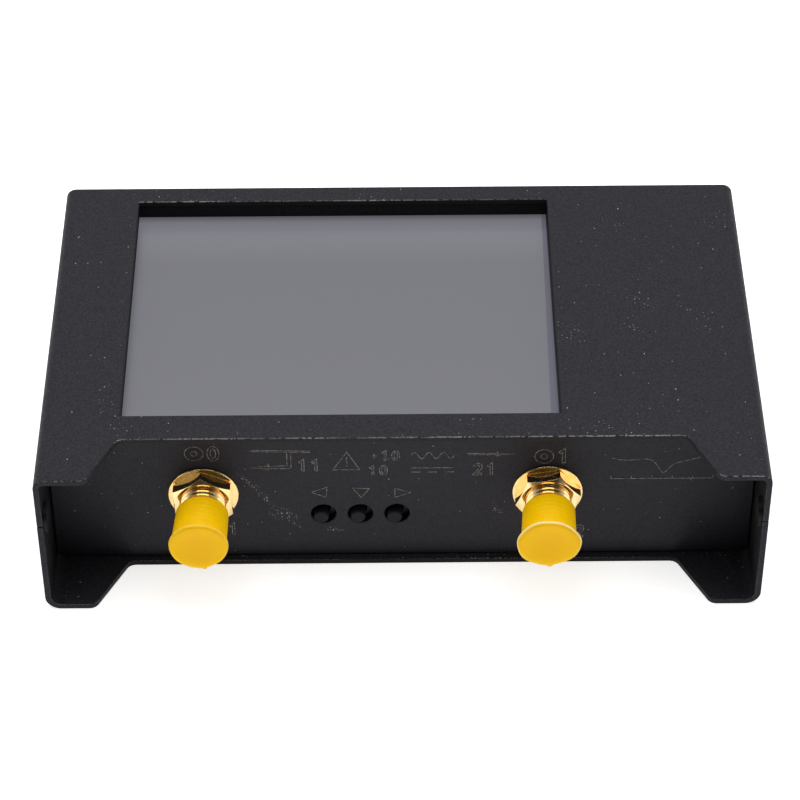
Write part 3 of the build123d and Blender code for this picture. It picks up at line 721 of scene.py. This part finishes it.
def capPlastic():
    # Soft translucent plastic with painted light: more orange towards the middle of the end, a painted shade
    # for the dish, and pale at the rim, a painted highlight on its rounding.
    material, tree, shader = startMaterial("capPlastic")
    grain = useGroup(tree, grainGroup, **capSet["grain"])
    tone = tree.nodes.new("ShaderNodeAttribute")
    tone.attribute_name = "capTone"
    parts = tree.nodes.new("ShaderNodeSeparateColor")
    tree.links.new(tone.outputs["Color"], parts.inputs["Color"])
    mottle = joinMath(tree, "MULTIPLY", grain.outputs["Tone"], capSet["orangeShare"])
    body = blendColour(tree, mottle, capSet["yellow"], capSet["orange"])
    body = blendColour(tree, parts.outputs["Red"], body, capSet["orange"])
    body = blendColour(tree, parts.outputs["Green"], body, capSet["pale"])
    tree.links.new(body, shader.inputs["Base Color"])
    middle, swing = capSet["roughness"], capSet["roughSwing"]
    setRoughness(tree, shader, grain.outputs["Tone"], middle + swing, middle - swing)
    shader.inputs["Specular IOR Level"].default_value = capSet["gloss"]
    # Painted glow: the plastic gives off light in its own colour.
    tree.links.new(body, shader.inputs["Emission Color"])
    shader.inputs["Emission Strength"].default_value = capSet["inner"]
    shader.inputs["Subsurface Weight"].default_value = capSet["glow"]
    shader.inputs["Subsurface Radius"].default_value = capSet["glowColour"]
    shader.inputs["Subsurface Scale"].default_value = capSet["glowReach"]
    addBump(tree, shader, grain.outputs["Height"], capSet["grainDepth"])
    return material


def softBlack(name, dark, light, roughness, size=0.5, depth=0.004):
    material = plainPlastic(name, dark, light, roughness, size, depth)
    shader = material.node_tree.nodes["Principled BSDF"]
    shader.inputs["Specular IOR Level"].default_value = plainSet["softGloss"]
    return material


tabSet = {
    # painted light and shade: lighter on faces that turn up, darker on faces that turn to the front
    "side": (0.0150, 0.0143, 0.0162, 1),
    "top": (0.0700, 0.0670, 0.0740, 1),
    "front": (0.0070, 0.0067, 0.0075, 1),
}


def tabCoat():
    # The same powder on the welded tabs, with painted light: lighter on faces that turn up and a painted
    # shade on their front ends.
    material, tree, shader = startMaterial("tabCoat")
    grain = useGroup(tree, grainGroup, **powderSet["grain"])
    facing = splitVector(tree, surfaceNormal(tree, "True Normal"))
    coat = blendColour(tree, spread(tree, facing["Z"], 0.1, 0.5), tabSet["side"], tabSet["top"])
    coat = blendColour(tree, spread(tree, facing["Y"], -0.3, -0.7), coat, tabSet["front"])
    tree.links.new(coat, shader.inputs["Base Color"])
    powderGloss(tree, shader, grain.outputs["Tone"])
    addBump(tree, shader, grain.outputs["Height"], powderSet["grainDepth"])
    return material


materials = {
    "powder_coat": powderCoat(),
    "panel_black": panelBlack(),
    "gold": goldPlate(),
    "screen_glass": screenGlass(),
    "yellow_cap": capPlastic(),
    "foam": softBlack("blackFoam", (0.012, 0.012, 0.0135, 1), (0.019, 0.019, 0.021, 1), 0.9, 0.25, 0.03),
    "button_black": softBlack("buttonBlack", (0.009, 0.009, 0.0105, 1), (0.016, 0.0155, 0.018, 1), 0.65),
    "black_plastic": plainPlastic("blackPlastic", (0.010, 0.010, 0.010, 1), (0.02, 0.02, 0.02, 1), 0.5),
    "black_lead": plainPlastic("blackSleeve", (0.010, 0.010, 0.010, 1), (0.02, 0.02, 0.02, 1), 0.45),
    "red_lead": plainPlastic("redSleeve", (0.42, 0.01, 0.01, 1), (0.55, 0.02, 0.015, 1), 0.45),
    "white_plastic": plainPlastic("whitePlastic", (0.70, 0.70, 0.66, 1), (0.82, 0.82, 0.78, 1), 0.45),
    "clear_plastic": plainPlastic("clearPlastic", (0.62, 0.66, 0.68, 1), (0.75, 0.78, 0.80, 1), 0.15),
    "polyimide": plainPlastic("amberFilm", (0.50, 0.22, 0.03, 1), (0.62, 0.30, 0.05, 1), 0.3),
    "circuit_board": plainPlastic("solderMask", (0.006, 0.055, 0.022, 1), (0.01, 0.085, 0.035, 1), 0.3, 0.8),
    "lcd": plainPlastic("crystalGlass", (0.03, 0.03, 0.035, 1), (0.04, 0.04, 0.045, 1), 0.12, 3.0),
    "steel": plainMetal("brightSteel", (0.48, 0.48, 0.49, 1), (0.62, 0.62, 0.62, 1), 0.3),
    "tin": plainMetal("drawnTin", (0.60, 0.60, 0.59, 1), (0.72, 0.72, 0.71, 1), 0.32, 0.7),
    "brass": plainMetal("turnedBrass", (0.66, 0.44, 0.16, 1), (0.80, 0.56, 0.24, 1), 0.28),
    "battery_foil": plainMetal("pouchFoil", (0.50, 0.51, 0.54, 1), (0.62, 0.63, 0.66, 1), 0.38, 1.2),
}


def dressNodes():
    for part in frame["record"]["subparts"]:
        mesh = nodeObjects[part["node"]].data
        mesh.materials.clear()
        mesh.materials.append(materials[part["material_slot"]])
    nodeObjects["locating_tabs"].data.materials[0] = tabCoat()


dressNodes()
print("materials ready:", len(materials))


# Dust caps: a ribbed tube with a thin flange and a moulding pip at its lowest point.
capShape = {
    "steps": 144,
    "ribs": 7,
    "ribDepth": 0.03,
    "flangeThickness": 0.62,
    "rimRound": 0.16,
    "dishDepth": 0.10,
    "dishReach": 0.62,    # of the flange's radius
    "tubeRadius": 3.66,
    "boreRadius": 3.42,
    "tubeFlare": 0.16,
    "endWall": 0.7,
    # rim sets the strength of each cap's painted rim highlight
    "left": {"ripple": 0.03, "stretch": 0.00, "pip": 0.42, "pipAngle": -80, "rim": 0.15, "phase": 0.4,
             "lean": 2.6},
    "right": {"ripple": 0.07, "stretch": 0.085, "pip": 0.55, "pipAngle": -86, "rim": 0.9, "phase": 2.1,
              "lean": 2.4},
}


def capProfile(length, flangeRadius):
    # Half section from the middle of the front face round to the bore's end: y, radius, orange (painted shade
    # of the dish), pale (painted highlight on the rim).
    shape = capShape
    dish = flangeRadius * shape["dishReach"]
    points = [(shape["dishDepth"], 0.0, 0.6, 0.0), (shape["dishDepth"], dish * 0.5, 0.55, 0.0),
              (shape["dishDepth"] * 0.85, dish * 0.86, 0.3, 0.0), (0.0, dish, 0.1, 0.0),
              (0.0, flangeRadius * 0.88, 0.0, 0.0), (0.0, flangeRadius - shape["rimRound"], 0.0, 0.0)]
    for step in range(7):
        turn = math.radians(-90 + 30 * step)
        rim = shape["rimRound"]
        middle = shape["flangeThickness"] / 2
        bulge = middle + (middle - 0.02) * math.sin(turn)
        # The painted highlight is strongest on the outermost part of the rim.
        pale = max(0.0, math.cos(turn)) ** 2
        points.append((bulge, flangeRadius - rim + rim * math.cos(turn), 0.0, pale))
    start = shape["flangeThickness"] + 0.02
    points.append((start, shape["tubeRadius"] + shape["tubeFlare"] + 0.05, 0.0, 0.0))
    count = shape["ribs"] * 8
    for step in range(count + 1):
        share = step / count
        wave = 0.5 - 0.5 * math.cos(2 * math.pi * shape["ribs"] * share)
        radius = shape["tubeRadius"] + shape["tubeFlare"] * (1 - share)
        radius -= shape["ribDepth"] * wave * (0.3 + 0.7 * share)
        points.append((start + 0.06 + share * (length - start - 0.16), radius, 0.0, 0.0))
    points += [(length - 0.03, shape["tubeRadius"] - 0.06, 0.0, 0.2),
               (length, shape["tubeRadius"] - 0.14, 0.0, 0.2),
               (length, shape["boreRadius"], 0.0, 0.2),
               (shape["endWall"] + 0.15, shape["boreRadius"], 0.0, 0.0),
               (shape["endWall"], shape["boreRadius"] - 0.15, 0.0, 0.0),
               (shape["endWall"], 0.0, 0.0, 0.0)]
    return points


def buildCap(side):
    low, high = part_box(f"{side}_dust_cap")
    middleX = (low[0] + high[0]) / 2
    middleZ = (low[2] + high[2]) / 2
    length = (high[1] - low[1]) / mm
    flangeRadius = (high[0] - low[0]) / 2 / mm
    look = capShape[side]
    steps = capShape["steps"]
    profile = capProfile(length, flangeRadius)
    mesh = bmesh.new()
    tone = mesh.loops.layers.float_color.new("capTone")
    rings = []
    tones = {}
    for y, radius, orange, pale in profile:
        ring = []
        for step in range(steps if radius > 0 else 1):
            angle = 2 * math.pi * step / steps
            grown = radius
            if radius > capShape["tubeRadius"] + 0.2 and y < 0.7:
                edge = (radius - capShape["tubeRadius"]) / (flangeRadius - capShape["tubeRadius"])
                away = math.remainder(angle - math.radians(look["pipAngle"]), 2 * math.pi)
                pip = look["pip"] * max(0.0, 1 - abs(away) / 0.17) ** 1.5
                sway = look["ripple"] * (math.sin(3 * angle + look["phase"]) + 0.6 * math.sin(7 * angle))
                grown += edge * (pip + sway + look["stretch"] * flangeRadius * math.cos(angle) ** 2)
            lean = (length - y) * math.tan(math.radians(look["lean"]))
            spot = (middleX + (grown * math.cos(angle) - lean) * mm, low[1] + y * mm,
                    middleZ + grown * mm * math.sin(angle))
            vert = mesh.verts.new(spot)
            tones[vert] = (orange, pale * look["rim"], 0, 1)
            ring.append(vert)
        rings.append(ring)
    for first, second in zip(rings, rings[1:]):
        for step in range(steps):
            following = (step + 1) % steps
            if len(first) == 1:
                mesh.faces.new((first[0], second[step], second[following]))
            elif len(second) == 1:
                mesh.faces.new((first[step], second[0], first[following]))
            else:
                mesh.faces.new((first[step], second[step], second[following], first[following]))
    for face in mesh.faces:
        face.smooth = True
        for loop in face.loops:
            loop[tone] = tones[loop.vert]
    bmesh.ops.recalc_face_normals(mesh, faces=mesh.faces)
    data = bpy.data.meshes.new(f"{side}CapMoulding")
    mesh.to_mesh(data)
    mesh.free()
    cap = bpy.data.objects.new(f"{side}CapMoulding", data)
    scene.collection.objects.link(cap)
    data.materials.append(materials["yellow_cap"])
    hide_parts(f"{side}_dust_cap")
    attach(cap, f"{side}_cap")


for capSide in ("left", "right"):
    buildCap(capSide)
print("dust caps ready")


# Marks on the front panel: laser-thin grey outlines, a hair proud of the paint.
markSet = {
    "line": 0.10,
    "proud": 0.012,
    "worn": (0.045, 0.042, 0.040, 1),
    "pale": (0.23, 0.21, 0.19, 1),
    "grain": {"Size": 0.45, "Contrast": 1.8},
    "roughness": (0.7, 0.5),
    "sunk": 0.02,         # mm behind the panel's face
    "digitWidth": 0.17,   # of a digit's height
    "digitStep": 0.86,
}


def markInk():
    material, tree, shader = startMaterial("markInk")
    grain = useGroup(tree, grainGroup, **markSet["grain"])
    tree.links.new(blendColour(tree, grain.outputs["Tone"], markSet["worn"], markSet["pale"]),
                   shader.inputs["Base Color"])
    setRoughness(tree, shader, grain.outputs["Tone"], *markSet["roughness"])
    return material


markMaterial = markInk()


def sidePoints(points, closed, half):
    # The two borders of a band along points, with mitred corners.
    count = len(points)
    lefts = []
    rights = []
    for index in range(count):
        here = Vector(points[index])
        before = Vector(points[index - 1]) if index or closed else None
        after = Vector(points[(index + 1) % count]) if index < count - 1 or closed else None
        arrive = (here - before).normalized() if before is not None else (after - here).normalized()
        leave = (after - here).normalized() if after is not None else arrive
        bisect = (arrive + leave).normalized()
        across = Vector((-bisect.y, bisect.x))
        stretch = min(2.0, 1 / max(0.3, abs(bisect.dot(arrive))))
        lefts.append(here + across * half * stretch)
        rights.append(here - across * half * stretch)
    return lefts, rights


def strokeMesh(mesh, points, closed=False):
    # A flat ribbon along points (x, z) in mm on the panel's face.
    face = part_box("front_panel")[0][1] - markSet["proud"] * mm
    back = face + (markSet["proud"] + markSet["sunk"]) * mm
    rings = []
    for left, right in zip(*sidePoints(points, closed, markSet["line"] / 2)):
        corners = ((left, face), (right, face), (right, back), (left, back))
        rings.append([mesh.verts.new((spot.x * mm, y, spot.y * mm)) for spot, y in corners])
    spans = len(rings) if closed else len(rings) - 1
    for index in range(spans):
        first = rings[index]
        second = rings[(index + 1) % len(rings)]
        for corner in range(4):
            following = (corner + 1) % 4
            mesh.faces.new((first[corner], first[following], second[following], second[corner]))
    if not closed:
        mesh.faces.new(reversed(rings[0]))
        mesh.faces.new(rings[-1])


def outlined(points, closed, width):
    # Strokes round the border of a band: two loops for a closed band, one for an open one.
    lefts, rights = sidePoints(points, closed, width / 2)
    if closed:
        return [(lefts, True), (rights, True)]
    return [(lefts + rights[::-1], True)]


def arcPoints(x, z, radius, start=0.0, end=360.0, count=24, tall=1.0):
    turns = [math.radians(start + (end - start) * step / count) for step in range(count + 1)]
    return [(x + radius * math.cos(turn), z + radius * tall * math.sin(turn)) for turn in turns]


def addStrokes(name, strokes):
    mesh = bmesh.new()
    for points, closed in strokes:
        strokeMesh(mesh, points, closed)
    bmesh.ops.recalc_face_normals(mesh, faces=mesh.faces)
    data = bpy.data.meshes.new(name)
    mesh.to_mesh(data)
    mesh.free()
    mark = bpy.data.objects.new(name, data)
    scene.collection.objects.link(mark)
    data.materials.append(markMaterial)
    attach(mark, "case")


# Middle lines of the digits, for a height of 1: points, and whether they close.
digitLines = {
    "0": [(arcPoints(0.27, 0.5, 0.23, count=18, tall=1.9)[:-1], True)],
    "1": [([(0.08, 0.74), (0.30, 0.94), (0.30, 0.02)], False)],
    "2": [([(0.04, 0.76), (0.12, 0.90), (0.28, 0.96), (0.44, 0.88), (0.48, 0.72), (0.38, 0.48), (0.06, 0.07),
            (0.52, 0.07)], False)],
    "+": [([(0.05, 0.48), (0.50, 0.48)], False), ([(0.275, 0.25), (0.275, 0.71)], False)],
}


def digits(text, x, z, height):
    # Outlined digits from the lower left corner (x, z), in mm.
    strokes = []
    for place, sign in enumerate(text):
        for points, closed in digitLines[sign]:
            moved = [(x + (a + place * markSet["digitStep"]) * height, z + b * height) for a, b in points]
            if sign == "+":
                strokes.append((moved, False))
            else:
                strokes += outlined(moved, closed, markSet["digitWidth"] * height)
    return strokes


def addMarks():
    # Each port has a socket sign and its number.
    for name, x, z, text in (("leftPortSign", -28.75, 20.75, "0"), ("rightPortSign", 19.6, 19.75, "1")):
        rings = [(arcPoints(x, z, 1.3)[:-1], True), (arcPoints(x, z, 0.45, count=12)[:-1], True)]
        addStrokes(name, rings + digits(text, x + 1.95, z - 1.3, 2.6))
    # Reflection arrow: out of the left port, round, and back.
    addStrokes("returnArrow", [
        ([(-21.1, 21.35), (-12.8, 21.1), (-12.8, 20.7)], False),
        ([(-21.1, 21.1), (-12.95, 20.85)], False),
        ([(-15.95, 20.7), (-15.95, 18.35), (-18.7, 18.25)], False),
        ([(-15.4, 20.7), (-15.4, 18.0), (-15.7, 17.8), (-18.7, 17.85)], False),
        ([(-18.5, 18.75), (-18.75, 18.3), (-20.9, 18.0), (-18.75, 17.75), (-18.5, 17.3)], True),
    ])
    addStrokes("reflectionNumber", digits("11", -14.4, 17.3, 2.1))
    addStrokes("throughArrow", [
        ([(8.9, 20.45), (13.3, 20.4)], False),
        ([(9.2, 20.2), (13.3, 20.15)], False),
        ([(13.1, 20.8), (13.3, 20.4), (15.6, 20.3), (13.3, 20.1), (13.1, 19.8)], True),
    ])
    addStrokes("throughNumber", digits("21", 9.9, 16.35, 2.1))
    # Caution triangle with a stroke and a dot.
    addStrokes("cautionSign", [
        ([(-7.66, 20.85), (-9.63, 17.5), (-5.9, 17.48)], True),
        ([(-7.62, 19.95), (-7.78, 19.4), (-7.6, 18.75)], False),
        ([(-7.7, 18.35), (-7.7, 18.1)], False),
    ])
    # Input limits: ten with a wave, and ten with the sign for direct current.
    wave = [(1.2 + 0.25 * step, 20.1 + 0.6 * math.sin(step * math.pi / 4)) for step in range(25)]
    addStrokes("limitWave", digits("+10", -4.4, 19.25, 1.75) + [(wave, False)])
    steady = [([(1.2, 17.75), (7.2, 17.75)], False)]
    steady += [([(x, 16.95), (x + 1.3, 16.95)], False) for x in (1.2, 3.55, 5.9)]
    addStrokes("limitSteady", digits("10", -4.6, 16.45, 1.75) + steady)
    # Button signs.
    addStrokes("leftButtonSign", [([(-12.75, 13.2), (-10.5, 14.15), (-10.65, 12.2)], True)])
    addStrokes("middleButtonSign", [([(-6.95, 13.95), (-4.6, 13.85), (-5.75, 12.1)], True)])
    addStrokes("rightButtonSign", [([(-1.05, 13.85), (-1.08, 12.1), (1.15, 13.0)], True)])
    # Small port numbers below.
    addStrokes("lowerNumberOne", digits("1", -24.5, 5.0, 2.2))
    addStrokes("lowerNumberTwo", digits("2", 24.3, 4.0, 2.3))
    # Trace sign at the right: a level sweep with one resonance dip over its axis.
    trace = []
    for step in range(41):
        x = 29.0 + 14.2 * step / 40
        fall = 3.1 / (1 + ((x - 36.2) / 1.05) ** 2)
        trace.append((x, 19.4 - fall - 0.35 * math.sin((x - 29.0) * 0.8)))
    ticks = [([(29.0 + 2.84 * step, 15.4), (29.0 + 2.84 * step, 15.9)], False) for step in range(6)]
    addStrokes("traceSign", [(trace, False), ([(29.0, 15.4), (43.2, 15.4)], False)] + ticks)


addMarks()
print("marks ready")
